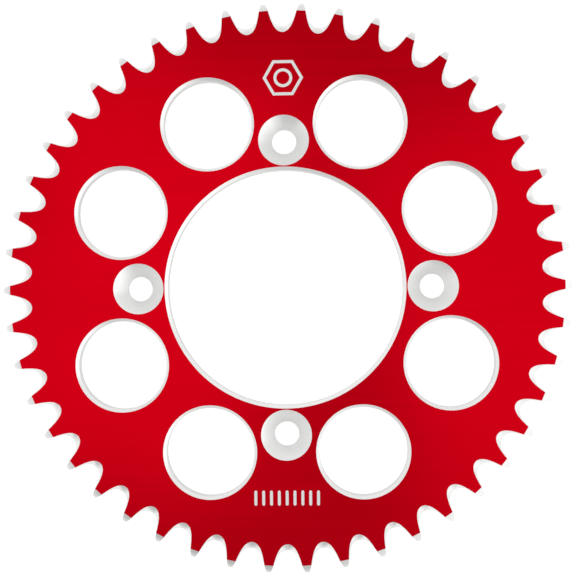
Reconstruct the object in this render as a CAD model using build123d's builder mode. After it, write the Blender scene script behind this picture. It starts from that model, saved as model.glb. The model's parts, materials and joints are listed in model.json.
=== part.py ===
from build123d import *
import os
from math import cos, isclose, radians, sin

# Rear chain sprocket: one plate of aluminium, cut whole from the blank.
# It lies flat on its back face. The origin is the centre of the bore on that face,
# and +Z runs along the axle to the front face, which has the countersinks and marks.
# Lengths are in millimetres and angles in degrees.

# Chain that the teeth are cut for
chain_pitch = 12.7
roller_diameter = 7.77
tooth_count = 46

# Plate
plate_thickness = 6.0
hole_edge_chamfer = 1.0

# Bore and bolt holes
bore_diameter = 80.0
bolt_count = 4
bolt_circle_diameter = 100.0
bolt_hole_diameter = 8.4
countersink_diameter = 17.2
countersink_angle = 90.0

# Lightening holes: one each side of every bolt
lightening_diameter = 30.0
lightening_circle_radius = 61.5
lightening_angle_from_bolt = 25.0

# Tooth form through the middle of the plate
seat_radius = 0.505 * roller_diameter
seating_angle = 140.0 - 90.0 / tooth_count
flank_radius = 60.0
flank_sweep = 7.0
tip_radius = 96.9
tip_corner_radius = 0.5

# Bevel turned on the tooth tips, on both faces
tip_bevel_face_radius = 94.2
tip_bevel_depth = 1.6

# Bevel milled along each tooth gap, on both faces. Each outline is half of the gap,
# with the gap's centreline along Y: a curve from the root to beyond the tooth tip.
gap_bevel_depth = 1.4
face_root_radius = 86.8
face_root_reach = 4.3
face_flank_pull = (5.03, 97.07)
face_flank_end = (6.32, 98.0)
floor_root_clearance = 0.08
floor_root_reach = 3.95
floor_flank_pull = (3.42, 92.83)
floor_flank_end = (6.48, 98.0)

# Engraved marks on the front face: a hexagonal ring above, a row of bars below
mark_radius = 71.2
mark_depth = 0.25
mark_stroke = 1.0
badge_sides = 6
badge_corner_radius = 6.9
badge_ring_radius = 3.2
bar_count = 9
bar_height = 5.1
bar_spacing = 2.65

# Space left round the blank by the cuts that run out past the teeth
clearance_past_tips = 2.0
touching = 0.01

# Worked out from the sizes above
pitch_radius = chain_pitch / 2 / sin(radians(180.0 / tooth_count))
root_radius = pitch_radius - roller_diameter / 2
bolt_circle_radius = bolt_circle_diameter / 2
beyond_tips = tip_radius + clearance_past_tips
tip_bevel_slope = tip_bevel_depth / (tip_radius - tip_bevel_face_radius)
tip_bevel_outer_depth = tip_bevel_slope * (beyond_tips - tip_bevel_face_radius)
floor_root_radius = root_radius + floor_root_clearance
badge_inner_corner_radius = badge_corner_radius - mark_stroke / cos(radians(180.0 / badge_sides))

os.makedirs("parts", exist_ok=True)


def half_gap_curve(root, reach, flank_pull, flank_end):
    """One side of a tooth gap, square to the centreline at the root."""
    return Bezier((0, root), (reach, root), flank_pull, flank_end)


# Tooth gap through the middle of the plate: the roller's seat, then a bulging flank
with BuildSketch(mode=Mode.PRIVATE) as tooth_gap:
    with BuildLine():
        seat = JernArc((0, root_radius), (1, 0), seat_radius, seating_angle / 2)
        flank = JernArc(seat @ 1, seat % 1, flank_radius, -flank_sweep)
        Line(flank @ 1, (0, beyond_tips))
        mirror(about=Plane.YZ)
    make_face()

# Outline of the plate with its teeth, their tips rounded
with BuildSketch(mode=Mode.PRIVATE) as toothed_outline:
    Circle(tip_radius)
    with PolarLocations(0, tooth_count):
        add(tooth_gap.sketch, mode=Mode.SUBTRACT)
    tip_corners = [
        corner
        for corner in toothed_outline.vertices()
        if corner.center().length > tip_radius - touching and abs(corner.Y) > tip_corner_radius
    ]
    fillet(tip_corners, tip_corner_radius)

# Space that the gap's bevel takes from the front face, narrowing into the plate
with BuildPart() as gap_bevel:
    with BuildSketch(Plane.XY.offset(plate_thickness)):
        with BuildLine():
            half_gap_curve(face_root_radius, face_root_reach, face_flank_pull, face_flank_end)
            Line(face_flank_end, (0, beyond_tips))
            mirror(about=Plane.YZ)
        make_face()
    with BuildSketch(Plane.XY.offset(plate_thickness - gap_bevel_depth)):
        with BuildLine():
            half_gap_curve(floor_root_radius, floor_root_reach, floor_flank_pull, floor_flank_end)
            Line(floor_flank_end, (0, beyond_tips))
            mirror(about=Plane.YZ)
        make_face()
    loft(ruled=True)
back_gap_bevel = mirror(gap_bevel.part, about=Plane.XY.offset(plate_thickness / 2))

with BuildPart() as sprocket:
    add(toothed_outline.sketch)
    extrude(amount=plate_thickness)

    # Bore and lightening holes, with their edges broken on both faces
    Hole(bore_diameter / 2)
    for side in (-1, 1):
        first_angle = side * lightening_angle_from_bolt
        with PolarLocations(lightening_circle_radius, bolt_count, start_angle=first_angle):
            Hole(lightening_diameter / 2)
    hole_radii = (bore_diameter / 2, lightening_diameter / 2)
    hole_edges = [
        edge
        for edge in sprocket.edges().filter_by(GeomType.CIRCLE)
        if any(isclose(edge.radius, radius) for radius in hole_radii)
    ]
    chamfer(hole_edges, hole_edge_chamfer)

    # Bolt holes, countersunk from the front
    with Locations((0, 0, plate_thickness)):
        with PolarLocations(bolt_circle_radius, bolt_count):
            CounterSinkHole(
                bolt_hole_diameter / 2,
                countersink_diameter / 2,
                counter_sink_angle=countersink_angle,
            )

    # Bevel turned on the tooth tips, front and back
    with BuildSketch(Plane.XZ):
        for face_height, inward in ((plate_thickness, -1), (0, 1)):
            with BuildLine():
                Polyline(
                    (tip_bevel_face_radius, face_height),
                    (beyond_tips, face_height),
                    (beyond_tips, face_height + inward * tip_bevel_outer_depth),
                    close=True,
                )
            make_face()
    revolve(axis=Axis.Z, mode=Mode.SUBTRACT)

    # Bevels milled along the tooth gaps
    with PolarLocations(0, tooth_count):
        add(gap_bevel.part, mode=Mode.SUBTRACT)
        add(back_gap_bevel, mode=Mode.SUBTRACT)

    # Engraved marks
    with BuildSketch(Plane.XY.offset(plate_thickness)):
        with Locations((0, mark_radius)):
            RegularPolygon(badge_corner_radius, badge_sides)
            RegularPolygon(badge_inner_corner_radius, badge_sides, mode=Mode.SUBTRACT)
            Circle(badge_ring_radius)
            Circle(badge_ring_radius - mark_stroke, mode=Mode.SUBTRACT)
        with Locations((0, -mark_radius)):
            with GridLocations(bar_spacing, 0, bar_count, 1):
                SlotOverall(bar_height, mark_stroke, rotation=90)
    extrude(amount=-mark_depth, mode=Mode.SUBTRACT)

sprocket.part.label = "sprocket"
export_step(sprocket.part, "parts/sprocket.step")
print("sprocket: volume %.0f mm3, valid %s" % (sprocket.part.volume, sprocket.part.is_valid))
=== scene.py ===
import bpy
import json
import math
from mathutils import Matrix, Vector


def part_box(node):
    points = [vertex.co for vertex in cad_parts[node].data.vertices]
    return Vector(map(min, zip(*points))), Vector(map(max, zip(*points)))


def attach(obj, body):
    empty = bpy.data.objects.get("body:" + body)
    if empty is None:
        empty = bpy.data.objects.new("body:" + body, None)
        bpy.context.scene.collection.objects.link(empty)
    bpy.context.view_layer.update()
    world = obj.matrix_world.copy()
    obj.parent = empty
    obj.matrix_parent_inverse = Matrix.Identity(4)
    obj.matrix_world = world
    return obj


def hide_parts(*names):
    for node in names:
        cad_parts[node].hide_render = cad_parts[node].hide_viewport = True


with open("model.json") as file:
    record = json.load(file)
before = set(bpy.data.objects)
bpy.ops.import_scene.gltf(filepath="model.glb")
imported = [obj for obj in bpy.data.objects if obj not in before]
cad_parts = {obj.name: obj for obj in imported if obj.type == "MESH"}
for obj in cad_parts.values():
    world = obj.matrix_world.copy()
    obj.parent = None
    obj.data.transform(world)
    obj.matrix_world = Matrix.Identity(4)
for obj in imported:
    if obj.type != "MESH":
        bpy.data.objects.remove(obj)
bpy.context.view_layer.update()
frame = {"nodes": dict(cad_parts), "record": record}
record = frame["record"]
print("frame loaded:", ", ".join(frame["nodes"]))


class Wire:  # a node's output, which Python can do sums with
    def __init__(self, graph, node, output=0):
        self.graph, self.node, self.socket = graph, node, node.outputs[output]

    def other(self, output):  # another output of the same node
        return Wire(self.graph, self.node, output)

    def __add__(self, value):
        return self.graph.maths("ADD", self, value)

    def __sub__(self, value):
        return self.graph.maths("SUBTRACT", self, value)

    def __rsub__(self, value):
        return self.graph.maths("SUBTRACT", value, self)

    def __mul__(self, value):
        return self.graph.maths("MULTIPLY", self, value)

    def __truediv__(self, value):
        return self.graph.maths("DIVIDE", self, value)

    def __rtruediv__(self, value):
        return self.graph.maths("DIVIDE", value, self)

    def __neg__(self):
        return self.graph.maths("MULTIPLY", self, -1)

    def __abs__(self):
        return self.graph.maths("ABSOLUTE", self)

    __radd__, __rmul__ = __add__, __mul__

    def sine(self):
        return self.graph.maths("SINE", self)

    def cosine(self):
        return self.graph.maths("COSINE", self)

    def sign(self):
        return self.graph.maths("SIGN", self)

    def rounded(self):
        return self.graph.maths("ROUND", self)

    def floored(self):
        return self.graph.maths("FLOOR", self)

    def over(self, limit):  # 1 past the limit, 0 before it
        return self.graph.maths("GREATER_THAN", self, limit)

    def near(self, value, reach=0.5):  # 1 within reach of the value, 0 elsewhere
        return self.graph.maths("COMPARE", self, value, reach)

    def within(self, low, high):  # 0 at low, 1 at high, held at both ends
        return self.graph.add("ShaderNodeMapRange", {}, {"Value": self, "From Min": low, "From Max": high})


class Graph:  # a node tree that gets each node in one call
    def __init__(self, tree):
        self.tree = tree

    def add(self, kind, settings=None, values=None, output=0):
        node = self.tree.nodes.new(kind)
        for name, setting in (settings or {}).items():
            setattr(node, name, setting)
        for place, value in (values or {}).items():
            for one in value if isinstance(value, list) else [value]:  # a list joins several links
                if isinstance(one, Wire):
                    self.tree.links.new(one.socket, node.inputs[place])
                else:
                    node.inputs[place].default_value = one
        return Wire(self, node, output) if node.outputs else None

    def maths(self, operation, *values):
        return self.add("ShaderNodeMath", {"operation": operation}, dict(enumerate(values)))

    def vector(self, x=0.0, y=0.0, z=0.0):
        return self.add("ShaderNodeCombineXYZ", {}, {0: x, 1: y, 2: z})

    def split(self, vector):
        first = self.add("ShaderNodeSeparateXYZ", {}, {0: vector})
        return first, first.other(1), first.other(2)

    def position(self):
        return self.split(self.add("GeometryNodeInputPosition"))

    def join(self, *parts):
        return self.add("GeometryNodeJoinGeometry", {}, {0: list(reversed(parts))})

    def flip(self, part):
        return self.add("GeometryNodeFlipFaces", {}, {"Mesh": part})

    def moved(self, part, x, y, z):
        return self.add("GeometryNodeTransform", {}, {"Geometry": part, "Translation": self.vector(x, y, z)})

    def atPoints(self, points, part):
        return self.add("GeometryNodeInstanceOnPoints", {}, {"Points": points, "Instance": part})

    def realized(self, part):
        return self.add("GeometryNodeRealizeInstances", {}, {0: part})

    def circle(self, corners, radius):
        return self.add("GeometryNodeMeshCircle", {"fill_type": "NONE"}, {
            "Vertices": corners, "Radius": radius})

    def stored(self, part, name, kind, domain, value):
        return self.add("GeometryNodeStoreNamedAttribute", {"data_type": kind, "domain": domain}, {
            "Geometry": part, "Name": name, "Value": value})


def newTree(name, sizes):  # a geometry tree with a named input for every size
    tree = bpy.data.node_groups.new(name, "GeometryNodeTree")
    tree.interface.new_socket("Geometry", in_out="OUTPUT", socket_type="NodeSocketGeometry")
    kinds = {int: "NodeSocketInt", float: "NodeSocketFloat", bpy.types.Material: "NodeSocketMaterial"}
    for label, value in sizes.items():
        socket = tree.interface.new_socket(label, in_out="INPUT", socket_type=kinds[type(value)])
        socket.default_value = value
    graph = Graph(tree)
    start = graph.add("NodeGroupInput")
    return graph, {label: start.other(label) for label in sizes}


def endTree(graph, geometry):
    graph.add("NodeGroupOutput", {}, {0: geometry})
    return graph.tree


def useTree(graph, tree, values):  # a finished tree as one node of another
    return graph.add("GeometryNodeGroup", {"node_tree": tree}, values)


def blend(first, second, share):
    return first + (second - first) * share


def fromTable(row, values):  # the value that belongs to a whole-numbered row
    total = row.near(0) * values[0]
    for number, value in enumerate(values[1:], 1):
        total = total + row.near(number) * value
    return total


mm = 0.001
mounts = {mount["name"]: mount["dims"] for mount in record["mounts"]}
plateLow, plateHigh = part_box("sprocket")
holeBoxes = [opening["box_m"] for opening in record["physics"]["openings"]]
holeCentres = [((low[0] + high[0]) / 2, (low[1] + high[1]) / 2, 0.0) for low, high in holeBoxes]

plate = {
    "Tooth Count": 46,
    "Chain Pitch": 12.7 * mm,
    "Roller Diameter": 7.77 * mm,
    "Plate Thickness": plateHigh[2] - plateLow[2],
    "Tip Radius": plateHigh[0],
}
finishNumbers = {"Face Finish": 0, "Tooth Finish": 1, "Hole Finish": 2, "Wall Finish": 3, "Mark Finish": 4}
meshing = {"weld": 0.002 * mm, "level": 0.02 * mm, "sharp": math.radians(27)}


def finished(graph, geometry, number):  # marks the faces with the number of their finish
    return graph.stored(geometry, "finish", "INT", "FACE", number)


def ringGrid(graph, steps, rings, bevels):  # a strip of faces to wrap round, with its step and ring numbers
    grid = graph.add("GeometryNodeMeshGrid", {}, {
        "Size X": steps, "Size Y": float(rings - 1), "Vertices X": steps + 1, "Vertices Y": rings})
    x, y, z = graph.position()
    # the wall row gets the material whose darker tone is painted shade
    middle = y.near(0, 0.25)  # the strip's middle row of faces is the wall, and the others are bevels
    grid = finished(graph, grid, blend(finishNumbers[bevels], finishNumbers["Wall Finish"], middle))
    return grid, (x + steps / 2).rounded(), (y + (rings - 1) / 2).rounded()


def wrapped(graph, grid, x, y, z, across):  # moves the points and keeps how far across the cut each one lies
    kept = graph.stored(grid, "across", "FLOAT", "POINT", across)
    return graph.add("GeometryNodeSetPosition", {}, {"Geometry": kept, "Position": graph.vector(x, y, z)})


teeth = {
    "Flank Radius": 60 * mm,
    "Tip Rounding": 0.3 * mm,
    "Tip Bevel Inset": 2.7 * mm,
    "Tip Bevel Depth": 1.6 * mm,
    "Root Bevel Inset": 2.37 * mm,
    "Root Bevel Depth": 1.4 * mm,
    "Edge Break": 0.09 * mm,
}
rollerSeat = {
    "radius": 0.505,  # of the roller's diameter
    "wrap": 70,  # degrees on each side of the gap, less the next one divided by the number of teeth
    "wrap lost": 45,
}
faceCurve = {  # the bevel's edge on the plate's face, from the root of a gap: x across it, y outwards
    "reach": 4.3 * mm,
    "pull": (5.03 * mm, 10.27 * mm),
    "end": (6.32 * mm, 11.2 * mm),
    "seat share": 0.5,  # how far along it the roller seat ends
}
rimRings = 6  # rows of points across the tooth rim, half of them for each face
gapSteps = {"seat": 9, "flank": 6, "round": 4, "tip": 3}  # faces along half a tooth gap
seatEnd = gapSteps["seat"]
holdStart = seatEnd + gapSteps["flank"] // 2  # from here the bevel's edge stays at its corner
flankEnd = seatEnd + gapSteps["flank"]
roundEnd = flankEnd + gapSteps["round"]
tipEnd = roundEnd + gapSteps["tip"]


def onFaceCurve(t, root):
    rest = 1 - t
    x = 3 * rest * rest * t * faceCurve["reach"] + 3 * rest * t * t * faceCurve["pull"][0]
    y = 3 * rest * t * t * faceCurve["pull"][1] + t * t * t * faceCurve["end"][1]
    return x + t * t * t * faceCurve["end"][0], y + root


def curveEnd(root, radius):  # how far along that curve it is this far from the axle
    t, smallStep = faceCurve["seat share"], 0.0005
    while math.hypot(*onFaceCurve(t, root)) < radius:
        t += smallStep
    return t


def gapPlaces():  # one side of a tooth gap, x across it and y outwards from the axle
    half = math.pi / plate["Tooth Count"]
    rootRadius = (plate["Chain Pitch"] / math.sin(half) - plate["Roller Diameter"]) / 2
    seat, flank = rollerSeat["radius"] * plate["Roller Diameter"], teeth["Flank Radius"]
    seatAngle = math.radians(rollerSeat["wrap"] - rollerSeat["wrap lost"] / plate["Tooth Count"])
    flankX = (seat + flank) * math.sin(seatAngle)
    flankY = rootRadius + seat - (seat + flank) * math.cos(seatAngle)
    reach, lean = math.hypot(flankX, flankY), math.atan2(flankX, flankY)

    def angleAt(radius):  # where the flank's arc is that far from the axle
        return math.acos((radius**2 - reach**2 - flank**2) / (2 * flank * reach)) - lean

    cornerAngle = angleAt(plate["Tip Radius"])
    corner = flankX - flank * math.sin(cornerAngle), flankY + flank * math.cos(cornerAngle)
    bevelRoot = rootRadius - teeth["Root Bevel Inset"]
    bevelRadius = plate["Tip Radius"] - teeth["Tip Bevel Inset"]
    bevelEnd = curveEnd(bevelRoot, bevelRadius)
    return {
        "Half Tooth Angle": half,
        "Root Radius": rootRadius,
        "Seat Radius": seat,
        "Seat Angle": seatAngle,
        "Flank X": flankX,
        "Flank Y": flankY,
        "Flank End Angle": angleAt(plate["Tip Radius"] - teeth["Tip Rounding"]),
        "Corner X": corner[0],
        "Corner Y": corner[1],
        "Round End Angle": math.atan2(*corner) + teeth["Tip Rounding"] / plate["Tip Radius"],
        "Bevel Root": bevelRoot,
        "Bevel Radius": bevelRadius,
        "Bevel Curve End": bevelEnd,
        "Bevel Corner Angle": math.atan2(*onFaceCurve(bevelEnd, bevelRoot)),
    }


def wallOutline(size, step):  # through the plate: roller seat, flank, rounded corner, tip
    turn = step.within(0, seatEnd) * size["Seat Angle"]
    x = turn.sine() * size["Seat Radius"]
    y = size["Root Radius"] + size["Seat Radius"] * (1 - turn.cosine())
    angle = blend(size["Seat Angle"], size["Flank End Angle"], step.within(seatEnd, flankEnd))
    flankX = size["Flank X"] - size["Flank Radius"] * angle.sine()
    flankY = size["Flank Y"] + size["Flank Radius"] * angle.cosine()
    tipAngle = blend(size["Round End Angle"], size["Half Tooth Angle"], step.within(roundEnd, tipEnd))
    tipX, tipY = size["Tip Radius"] * tipAngle.sine(), size["Tip Radius"] * tipAngle.cosine()
    t = step.within(flankEnd, roundEnd)
    roundX = blend(blend(flankX, size["Corner X"], t), blend(size["Corner X"], tipX, t), t)
    roundY = blend(blend(flankY, size["Corner Y"], t), blend(size["Corner Y"], tipY, t), t)
    for start, newX, newY in ((seatEnd, flankX, flankY), (flankEnd, roundX, roundY), (roundEnd, tipX, tipY)):
        past = step.over(start + 0.5)
        x, y = blend(x, newX, past), blend(y, newY, past)
    return x, y


def bevelOutline(size, step):  # on the face: held at its corner while the flank runs on
    seatShare = faceCurve["seat share"]
    onFlank = step.within(seatEnd, holdStart) * (size["Bevel Curve End"] - seatShare)
    x, y = onFaceCurve(step.within(0, seatEnd) * seatShare + onFlank, size["Bevel Root"])
    angle = blend(size["Bevel Corner Angle"], size["Half Tooth Angle"], step.within(roundEnd, tipEnd))
    cornerX, cornerY = size["Bevel Radius"] * angle.sine(), size["Bevel Radius"] * angle.cosine()
    past = step.over(holdStart - 0.5)
    return blend(x, cornerX, past), blend(y, cornerY, past)


def toothRimTree():
    sizes = {**plate, **teeth, **gapPlaces()}
    graph, size = newTree("toothRim", sizes)
    grid, station, ring = ringGrid(graph, size["Tooth Count"] * (2 * tipEnd), rimRings, "Tooth Finish")
    gap = ((station + 0.5) / (2 * tipEnd)).floored()
    signed = station - gap * (2 * tipEnd) - tipEnd  # negative on one side of a gap
    step = abs(signed)
    wallX, wallY = wallOutline(size, step)
    faceX, faceY = bevelOutline(size, step)

    # across the plate: face, bevel, broken edge and wall, then the same to the back
    inward = graph.maths("MINIMUM", ring, rimRings - 1 - ring)
    atBack = ring.over(rimRings / 2 - 0.5)
    deep = blend(size["Root Bevel Depth"], size["Tip Bevel Depth"], step.within(holdStart, roundEnd))
    share = fromTable(inward, [0.0, 1 - size["Edge Break"] / size["Tip Bevel Depth"], 1.0])
    drop = deep * share + inward.over(1.5) * size["Edge Break"]
    height = blend(size["Plate Thickness"] - drop, drop, atBack)
    across = blend(drop * 2, size["Plate Thickness"] * 2 - drop * 2, atBack)

    x, y = blend(faceX, wallX, share) * signed.sign(), blend(faceY, wallY, share)
    turn = gap * size["Half Tooth Angle"] * 2
    rimX, rimY = x * turn.cosine() + y * turn.sine(), y * turn.cosine() - x * turn.sine()
    return endTree(graph, wrapped(graph, grid, rimX, rimY, height, across)), sizes


holes = {
    "Edge Chamfer": 1.0 * mm,
    "Bore Radius": mounts["bore"]["r_mm"] * mm,
    "Lightening Radius": 15.0 * mm,
    "Bolt Count": mounts["bolt_holes"]["count"],
    "Bolt Radius": mounts["bolt_holes"]["hole_r_mm"] * mm,
    "Bolt Circle Radius": mounts["bolt_holes"]["pcd_mm"] / 2 * mm,
    "Countersink Radius": 8.6 * mm,
}
holeSteps = {"bore": 288, "lightening": 120, "bolt": 80}  # faces round each hole


def turnedHoleTree():  # a round hole with a 45 degree lip at the front and one at the back
    sizes = {
        "Steps": holeSteps["lightening"],
        "Wall Radius": holes["Lightening Radius"],
        "Front Lip": holes["Edge Chamfer"],
        "Back Lip": holes["Edge Chamfer"],
        "Plate Thickness": plate["Plate Thickness"],
    }
    graph, size = newTree("turnedHole", sizes)
    grid, station, ring = ringGrid(graph, size["Steps"], 4, "Hole Finish")
    wall, front, back, thick = (size[name] for name in list(sizes)[1:])
    radius = fromTable(ring, [wall + front, wall, wall, wall + back])
    height = fromTable(ring, [thick, thick - front, back, 0.0])
    slant = math.sqrt(2)
    top, bottom = front * slant, front * slant + thick - front - back
    across = fromTable(ring, [0.0, top, bottom, bottom + back * slant])
    turn = station / size["Steps"] * (2 * math.pi)
    hole = wrapped(graph, grid, radius * turn.cosine(), radius * turn.sine(), height, across)
    return endTree(graph, hole)


def cutHoles(graph, size):  # the bore, the lightening holes and the countersunk bolt holes
    holeTree = turnedHoleTree()
    thick, chamfer = size["Plate Thickness"], size["Edge Chamfer"]

    def turned(steps, radius, front, back):
        return useTree(graph, holeTree, {
            "Steps": steps, "Wall Radius": radius, "Front Lip": front, "Back Lip": back,
            "Plate Thickness": thick})

    bore = turned(holeSteps["bore"], size["Bore Radius"], chamfer, chamfer)
    light = turned(holeSteps["lightening"], size["Lightening Radius"], chamfer, chamfer)
    lights = graph.join(*[graph.moved(light, *centre) for centre in holeCentres])
    sink = size["Countersink Radius"] - size["Bolt Radius"]
    bolt = turned(holeSteps["bolt"], size["Bolt Radius"], sink, 0.0)
    boltCircle = graph.circle(size["Bolt Count"], size["Bolt Circle Radius"])
    return graph.join(bore, lights, graph.atPoints(boltCircle, bolt))


marks = {
    "Mark Radius": 71.2 * mm,
    "Mark Depth": 0.25 * mm,
    "Stroke": 1.0 * mm,
    "Badge Corners": 6,
    "Badge Radius": 6.9 * mm,
    "Badge Ring Radius": 3.2 * mm,
    "Bar Count": 9,
    "Bar Height": 5.1 * mm,
    "Bar Spacing": 2.65 * mm,
}
markSteps = {"ring": 48, "bar": 28}  # faces round the badge's ring, and round each bar


def engravedOutlineTree():  # the upright wall round an engraved mark, hanging down from the face
    graph, size = newTree("engravedOutline", {
        "Corners": marks["Badge Corners"], "Radius": marks["Badge Radius"], "Stretch": 0.0,
        "Depth": marks["Mark Depth"]})
    outline = graph.circle(size["Corners"], size["Radius"])
    x, y, z = graph.position()
    longer = graph.add("GeometryNodeSetPosition", {}, {
        "Geometry": outline, "Offset": graph.vector(0, y.sign() * size["Stretch"], 0)})
    wall = graph.add("GeometryNodeExtrudeMesh", {"mode": "EDGES"}, {
        "Mesh": longer, "Offset": graph.vector(0, 0, -1), "Offset Scale": size["Depth"]})
    return endTree(graph, finished(graph, graph.flip(wall), finishNumbers["Mark Finish"]))


def engraveMarks(graph, size):  # a hexagon with a ring in it at the top, and a row of bars at the bottom
    outlineTree = engravedOutlineTree()

    def outline(corners, radius, stretch=0.0):
        return useTree(graph, outlineTree, {
            "Corners": corners, "Radius": radius, "Stretch": stretch, "Depth": size["Mark Depth"]})

    stroke, corners, ringSteps = size["Stroke"], size["Badge Corners"], markSteps["ring"]
    innerRadius = size["Badge Radius"] - stroke / (math.pi / corners).cosine()
    islands = graph.join(
        outline(corners, innerRadius), outline(ringSteps, size["Badge Ring Radius"] - stroke))
    grooves = graph.join(
        outline(corners, size["Badge Radius"]), outline(ringSteps, size["Badge Ring Radius"]))
    badge = graph.join(grooves, graph.flip(islands))

    rowStart = size["Bar Spacing"] * (size["Bar Count"] - 1) / -2
    barLine = graph.add("GeometryNodeMeshLine", {}, {
        "Count": size["Bar Count"], "Start Location": graph.vector(rowStart),
        "Offset": graph.vector(size["Bar Spacing"])})
    bar = outline(markSteps["bar"], stroke / 2, (size["Bar Height"] - stroke) / 2)
    bars = graph.atPoints(barLine, bar)
    radius, thick = size["Mark Radius"], size["Plate Thickness"]
    return graph.join(graph.moved(badge, 0.0, radius, thick), graph.moved(bars, 0.0, -radius, thick))


def shaded(graph, geometry, smooth, domain="FACE", **chosen):
    return graph.add("GeometryNodeSetShadeSmooth", {"domain": domain}, {
        "Geometry": geometry, "Shade Smooth": smooth, **chosen})


def welded(graph, geometry):
    return graph.add("GeometryNodeMergeByDistance", {}, {"Geometry": geometry, "Distance": meshing["weld"]})


def flatFill(graph, walls, level):  # fills everything between the open edges at one height
    edges = graph.add("GeometryNodeInputMeshEdgeNeighbors")
    x, y, z = graph.position()
    chosen = edges.near(1) * z.near(level, meshing["level"])
    curves = graph.add("GeometryNodeMeshToCurve", {}, {"Mesh": walls, "Selection": chosen})
    fill = graph.add("GeometryNodeFillCurve", {"mode": "TRIANGLES"}, {"Curve": curves})
    flat = graph.add("GeometryNodeSetPosition", {}, {
        "Geometry": fill, "Position": graph.vector(x, y, level)})
    return shaded(graph, flat, False)


def sprocketTree(materials):
    rimTree, rimSizes = toothRimTree()
    sizes = {**rimSizes, **holes, **marks, **materials}
    graph, size = newTree("sprocket", sizes)
    thick = size["Plate Thickness"]
    rim = useTree(graph, rimTree, {name: size[name] for name in rimSizes})
    cuts = graph.realized(graph.join(rim, cutHoles(graph, size), engraveMarks(graph, size)))
    walls = shaded(graph, welded(graph, cuts), True)

    back = graph.flip(flatFill(graph, walls, 0.0))
    faces = finished(graph, graph.join(flatFill(graph, walls, thick), back), finishNumbers["Face Finish"])
    floors = flatFill(graph, walls, thick - size["Mark Depth"])
    floors = finished(graph, floors, finishNumbers["Mark Finish"])
    whole = welded(graph, graph.join(walls, faces, floors))
    sharp = graph.add("GeometryNodeInputMeshEdgeAngle").over(meshing["sharp"])
    whole = graph.realized(shaded(graph, whole, False, "EDGE", Selection=sharp))

    number = graph.add("GeometryNodeInputNamedAttribute", {"data_type": "INT"}, {"Name": "finish"})
    for name, place in finishNumbers.items():
        chosen = {"Selection": number.over(place - 0.5)} if place else {}  # the first one goes on everything
        values = {"Geometry": whole, "Material": size[name], **chosen}
        whole = graph.add("GeometryNodeSetMaterial", {}, values)
    return endTree(graph, whole), sizes


def makeMesh(name, tree, sizes):
    piece = bpy.data.objects.new(name, bpy.data.meshes.new(name))
    bpy.context.scene.collection.objects.link(piece)
    modifier = piece.modifiers.new("shape", "NODES")
    modifier.node_group = tree
    for item in tree.interface.items_tree:
        if item.in_out == "INPUT":
            modifier[item.identifier] = sizes[item.name]
    seen = piece.evaluated_get(bpy.context.evaluated_depsgraph_get())
    piece.data = bpy.data.meshes.new_from_object(seen)
    piece.data.name = name
    if piece.data.materials[0] is None:  # left by the parts that were joined before they had a material
        piece.data.materials.pop(index=0)
    piece.modifiers.remove(modifier)
    return piece


def newMaterial(name):
    material = bpy.data.materials.new(name)
    material.use_nodes = True
    material.node_tree.nodes.clear()
    return material, Graph(material.node_tree)


def noise(graph, place, scale=1.0, detail=2.0):
    return graph.add("ShaderNodeTexNoise", {}, {
        "Vector": graph.vector(*place), "Scale": scale, "Detail": detail})


def mixed(graph, share, first, second):  # from one colour to another
    return graph.add("ShaderNodeMix", {"data_type": "RGBA"}, {0: share, 6: first, 7: second}, 2)


scratchDepth = 0.02 * mm


def closeMaterial(graph, scratches, strength, values):
    bump = graph.add("ShaderNodeBump", {}, {
        "Strength": strength, "Distance": scratchDepth, "Height": scratches})
    shader = graph.add("ShaderNodeBsdfPrincipled", {}, {"Normal": bump, **values})
    graph.add("ShaderNodeOutputMaterial", {}, {"Surface": shader})


anodised = {
    "bright": (0.70, 0.0, 0.0095, 1),
    "deep": (0.63, 0.0, 0.0075, 1),
    "edge tint": (1.0, 0.38, 0.40, 1),  # keeps the dye's colour in a slanting view
    "roughness": 0.19,
    "grain": 0.05,
    "streaks": {"along": 40, "across": 5200, "detail": 3.0, "share": 0.3},
    "bands": {"along": 12, "across": 700, "detail": 2.0, "share": 0.35},
    "clouds": {"scale": 28.0, "share": 0.35},
    "contrast": (0.35, 0.65),
    "scratches": 0.12,
}


def anodisedRed():
    material, graph = newMaterial("anodisedRed")
    x, y, z = graph.split(graph.add("ShaderNodeTexCoord", {}, {}, "Object"))

    streaks, bands, clouds = anodised["streaks"], anodised["bands"], anodised["clouds"]

    def brushed(look):
        place = (x * look["along"], y * look["across"], z * look["across"])
        return noise(graph, place, detail=look["detail"])

    streak, band, cloud = brushed(streaks), brushed(bands), noise(graph, (x, y, z), clouds["scale"])
    tone = streak * streaks["share"] + band * bands["share"] + cloud * clouds["share"]
    tone = tone.within(*anodised["contrast"])
    closeMaterial(graph, streak, anodised["scratches"], {
        "Base Color": mixed(graph, tone, anodised["deep"], anodised["bright"]),
        "Metallic": 1.0,
        "Specular Tint": anodised["edge tint"],
        "Roughness": anodised["roughness"] + (streak + band - 1) * anodised["grain"],
    })
    return material


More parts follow.
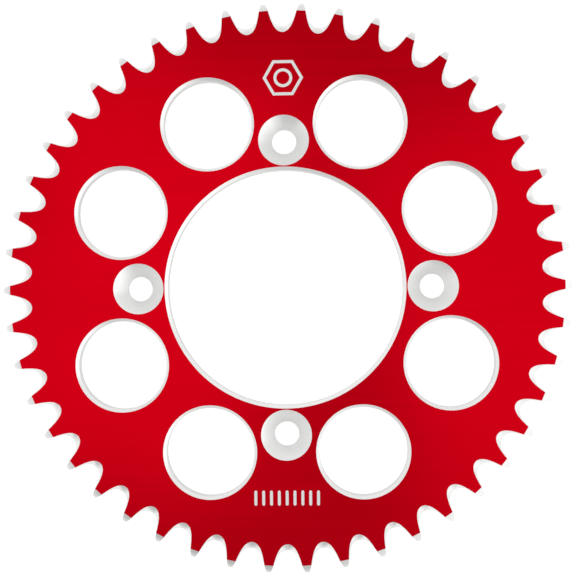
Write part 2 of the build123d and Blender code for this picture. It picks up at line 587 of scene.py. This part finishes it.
bareMetal = {  # dull and clean tones, how rough, how far apart the tool lines are, and how metallic; the tones of the tooth bevels and of the walls are set lower as painted shade
    # the tooth bevels' tones sit below the holes' as painted shade on the tooth tips and gap roots; their
    # tool lines are real
    "milledTeeth": {"tones": (0.76, 0.84), "roughness": 0.27, "pitch": 0.10 * mm, "metallic": 1.0},
    "turnedHoles": {"tones": (0.90, 0.98), "roughness": 0.30, "pitch": 0.10 * mm, "metallic": 1.0},
    # the walls' tones are set well below bare aluminium as painted shade in the holes and tooth gaps; their
    # tool lines are real
    "milledWalls": {"tones": (0.58, 0.68), "roughness": 0.42, "pitch": 0.15 * mm, "metallic": 1.0},
    "engravedMetal": {"tones": (0.90, 0.97), "roughness": 0.55, "pitch": 0.15 * mm, "metallic": 0.25},
}
toolMarks = {
    "along": 60,
    "detail": 3.0,
    "clouds": 90.0,
    "line share": 0.6,
    "contrast": (0.3, 0.7),
    "grain": 0.10,
    "scratches": 0.15,
    "warmth": 0.01,  # how much less blue than red and green
}


def bareCut(name):
    look = bareMetal[name]
    material, graph = newMaterial(name)
    x, y, z = graph.split(graph.add("ShaderNodeTexCoord", {}, {}, "Object"))
    across = graph.add("ShaderNodeAttribute", {"attribute_name": "across"}, {}, "Fac")
    place = (across / look["pitch"], x * toolMarks["along"], y * toolMarks["along"])
    lines = noise(graph, place, detail=toolMarks["detail"])
    cloud = noise(graph, (x, y, z), toolMarks["clouds"])
    tone = blend(cloud, lines, toolMarks["line share"]).within(*toolMarks["contrast"])
    dull, clean = [(grey, grey, grey - toolMarks["warmth"], 1) for grey in look["tones"]]
    closeMaterial(graph, lines, toolMarks["scratches"], {
        "Base Color": mixed(graph, tone, dull, clean),
        "Metallic": look["metallic"],
        "Roughness": look["roughness"] + (lines - 0.5) * toolMarks["grain"],
    })
    return material


finishes = {
    "Face Finish": anodisedRed(),
    "Tooth Finish": bareCut("milledTeeth"),
    "Hole Finish": bareCut("turnedHoles"),
    "Wall Finish": bareCut("milledWalls"),
    "Mark Finish": bareCut("engravedMetal"),
}
print("finishes ready:", ", ".join(material.name for material in finishes.values()))

toothedPlate = makeMesh("toothed_plate", *sprocketTree(finishes))
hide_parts("sprocket")
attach(toothedPlate, "root")
print("toothed plate:", len(toothedPlate.data.polygons), "faces")


floor = {"side": 6.0, "gap": 0.02 * mm, "colour": (0.2, 0.2, 0.2, 1), "glow": 0.93, "roughness": 0.9}


def makeFloor():
    half, height = floor["side"] / 2, -floor["gap"]
    corners = [(x, y, height) for x, y in ((-half, -half), (half, -half), (half, half), (-half, half))]
    mesh = bpy.data.meshes.new("studio_floor")
    mesh.from_pydata(corners, [], [(0, 1, 2, 3)])
    piece = bpy.data.objects.new("studio_floor", mesh)
    bpy.context.scene.collection.objects.link(piece)
    material, graph = newMaterial("paleFloor")
    top = graph.add("ShaderNodeBsdfPrincipled", {}, {
        "Base Color": floor["colour"], "Roughness": floor["roughness"],
        "Emission Color": (1, 1, 1, 1), "Emission Strength": floor["glow"]})
    underside = graph.add("ShaderNodeBsdfTransparent")  # open from below, so that the back face can be seen
    below = graph.add("ShaderNodeNewGeometry", {}, {}, "Backfacing")
    shader = graph.add("ShaderNodeMixShader", {}, {0: below, 1: top, 2: underside})
    graph.add("ShaderNodeOutputMaterial", {}, {"Surface": shader})
    mesh.materials.append(material)


sky = {
    "horizon": 0.89,
    "overhead": 0.56,
    "fade": (0.55, 0.92),  # where it starts to get darker towards the top, and where that ends
    "patches": [  # a compass angle, how far the patch reaches round it, and what it adds
        {"angle": -23, "edge": 0.72, "core": 0.86, "light": 0.35},
        {"angle": -110, "edge": 0.78, "core": 0.92, "light": -0.38},
    ],
}


def makeSky():  # soft light from all round, less from overhead, with a brighter and a darker side
    world = bpy.data.worlds.new("studio")
    bpy.context.scene.world = world
    world.use_nodes = True
    world.node_tree.nodes.clear()
    graph = Graph(world.node_tree)
    x, y, z = graph.split(graph.add("ShaderNodeTexCoord", {}, {}, "Generated"))
    level = z.within(*sky["fade"]) * (sky["overhead"] - sky["horizon"]) + sky["horizon"]
    for patch in sky["patches"]:
        angle = math.radians(patch["angle"])
        toward = x * math.cos(angle) + y * math.sin(angle)
        level = level + toward.within(patch["edge"], patch["core"]) * patch["light"]
    light = graph.add("ShaderNodeBackground", {}, {"Color": (1, 1, 1, 1), "Strength": level})
    graph.add("ShaderNodeOutputWorld", {}, {"Surface": light})


softboxes = {
    "leftSoftbox": {"place": (-0.246, 0.035, 1.12), "turn": -12, "size": (0.38, 0.56), "power": 0.31},
    "rightSoftbox": {"place": (0.274, -0.025, 1.12), "turn": 12, "size": (0.36, 0.56), "power": 0.27},
}


def makeSoftbox(name, box):
    light = bpy.data.lights.new(name, "AREA")
    light.shape = "RECTANGLE"
    light.size, light.size_y = box["size"]
    light.energy = box["power"]
    piece = bpy.data.objects.new(name, light)
    piece.location = box["place"]
    piece.rotation_euler = (0, 0, math.radians(box["turn"]))
    bpy.context.scene.collection.objects.link(piece)


view = {
    "place": (0.01632, -0.00492, 0.3856),  # above the plate, a little to the right of the bore
    "turn": (0.6848, 2.3159, -0.5967),
    "lens": 70.11,
    "sensor": 36.0,
}


def makeCamera():
    camera = bpy.data.cameras.new("camera")
    camera.lens = view["lens"]
    camera.sensor_width = view["sensor"]
    piece = bpy.data.objects.new("camera", camera)
    piece.location = view["place"]
    piece.rotation_euler = [math.radians(angle) for angle in view["turn"]]
    bpy.context.scene.collection.objects.link(piece)
    bpy.context.scene.camera = piece


makeFloor()
makeSky()
for name, box in softboxes.items():
    makeSoftbox(name, box)
makeCamera()
bpy.context.scene.view_settings.view_transform = "Standard"
print("studio ready:", ", ".join(softboxes))
